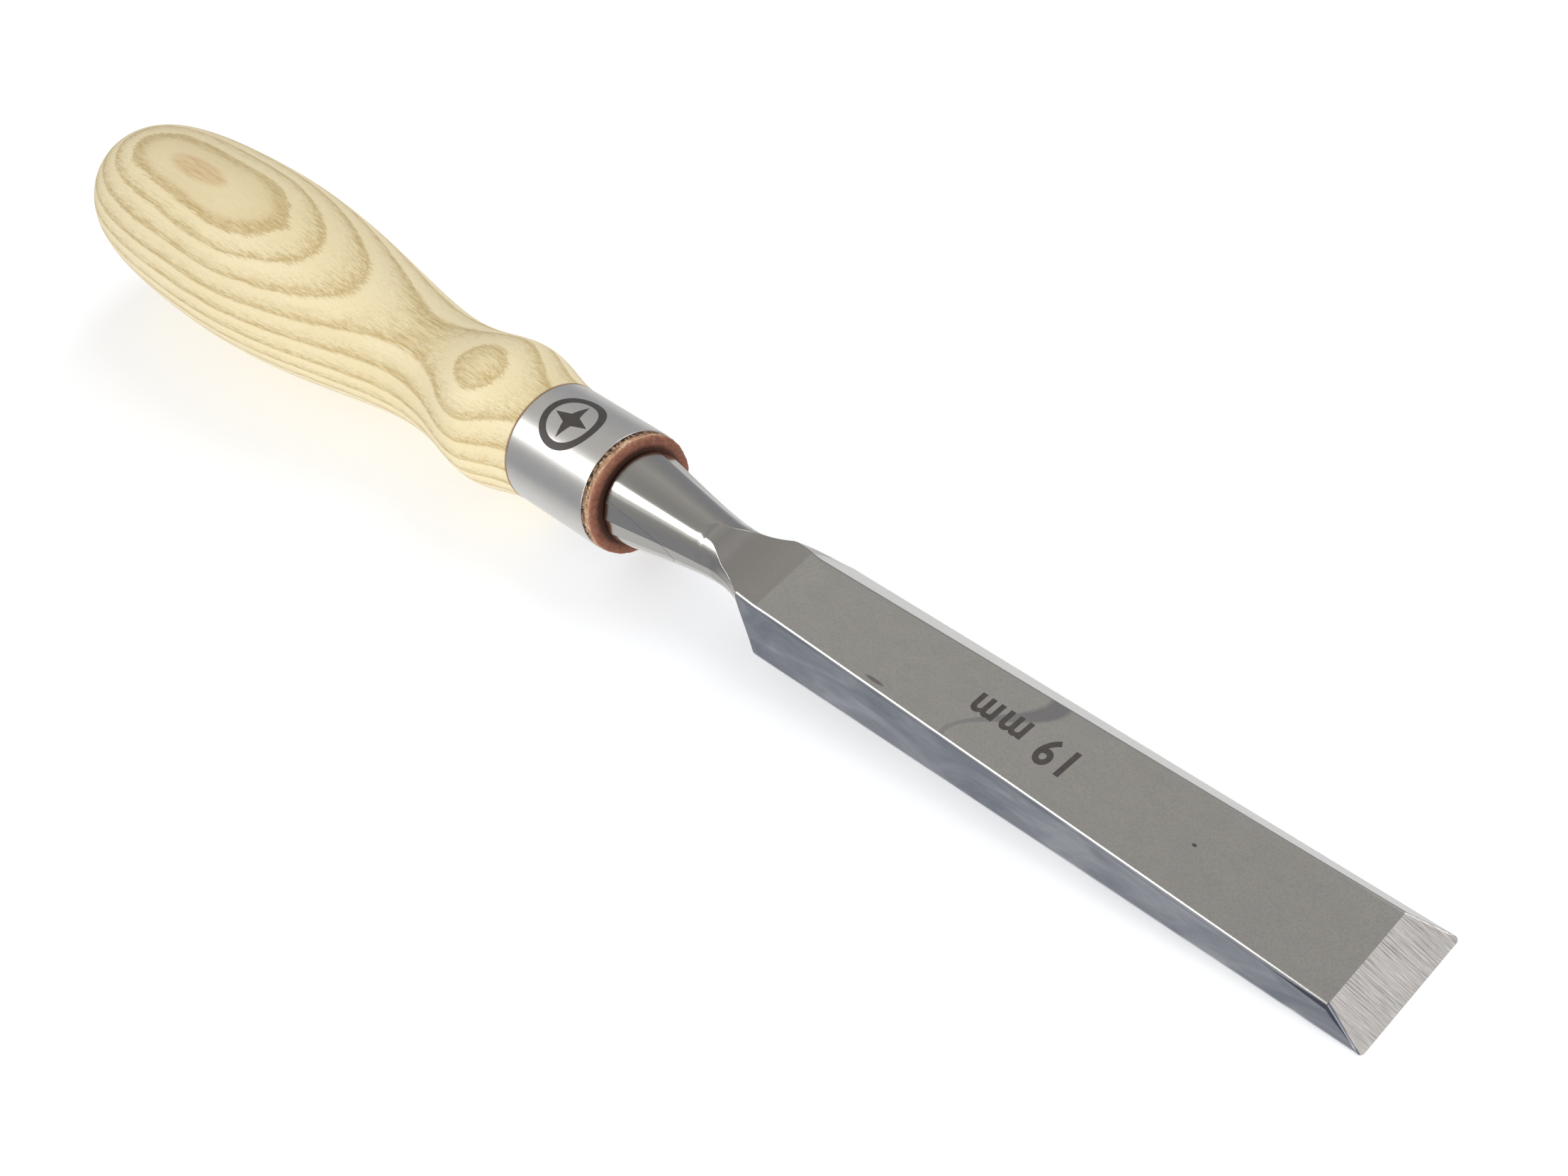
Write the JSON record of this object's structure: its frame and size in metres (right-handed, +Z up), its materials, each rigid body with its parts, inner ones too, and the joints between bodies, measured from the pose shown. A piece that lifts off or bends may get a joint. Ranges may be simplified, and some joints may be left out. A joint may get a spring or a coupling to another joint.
{
  "type": "bench chisel",
  "caption": "Bevel-edge bench chisel: tapering steel blade with turned neck and bolster, leather washer, steel ferrule and turned ash handle.",
  "frame": {"origin": "middle of the bounding box's underside, on the surface that the chisel lies on", "axes": "+X from the butt of the handle towards the cutting edge, +Z up, the flat back of the blade facing down; belly and cutting edge both stand on Z = 0, so the tool's own axis runs 2.7 degrees nose-down"},
  "size_m": [0.291, 0.0322, 0.0327],
  "materials": {
    "blade_steel": "ground faces, polished neck, fine lengthwise scratches on the ground bevel",
    "leather": "cut vegetable-tanned leather, fibrous rim",
    "ferrule_steel": "satin turned",
    "ash": "oiled ash with open growth-ring figure"
  },
  "bodies": {
    "root": {"blade": "blade_steel", "leather_washer": "leather", "ferrule": "ferrule_steel", "handle": "ash"}
  },
  "joints": []
}
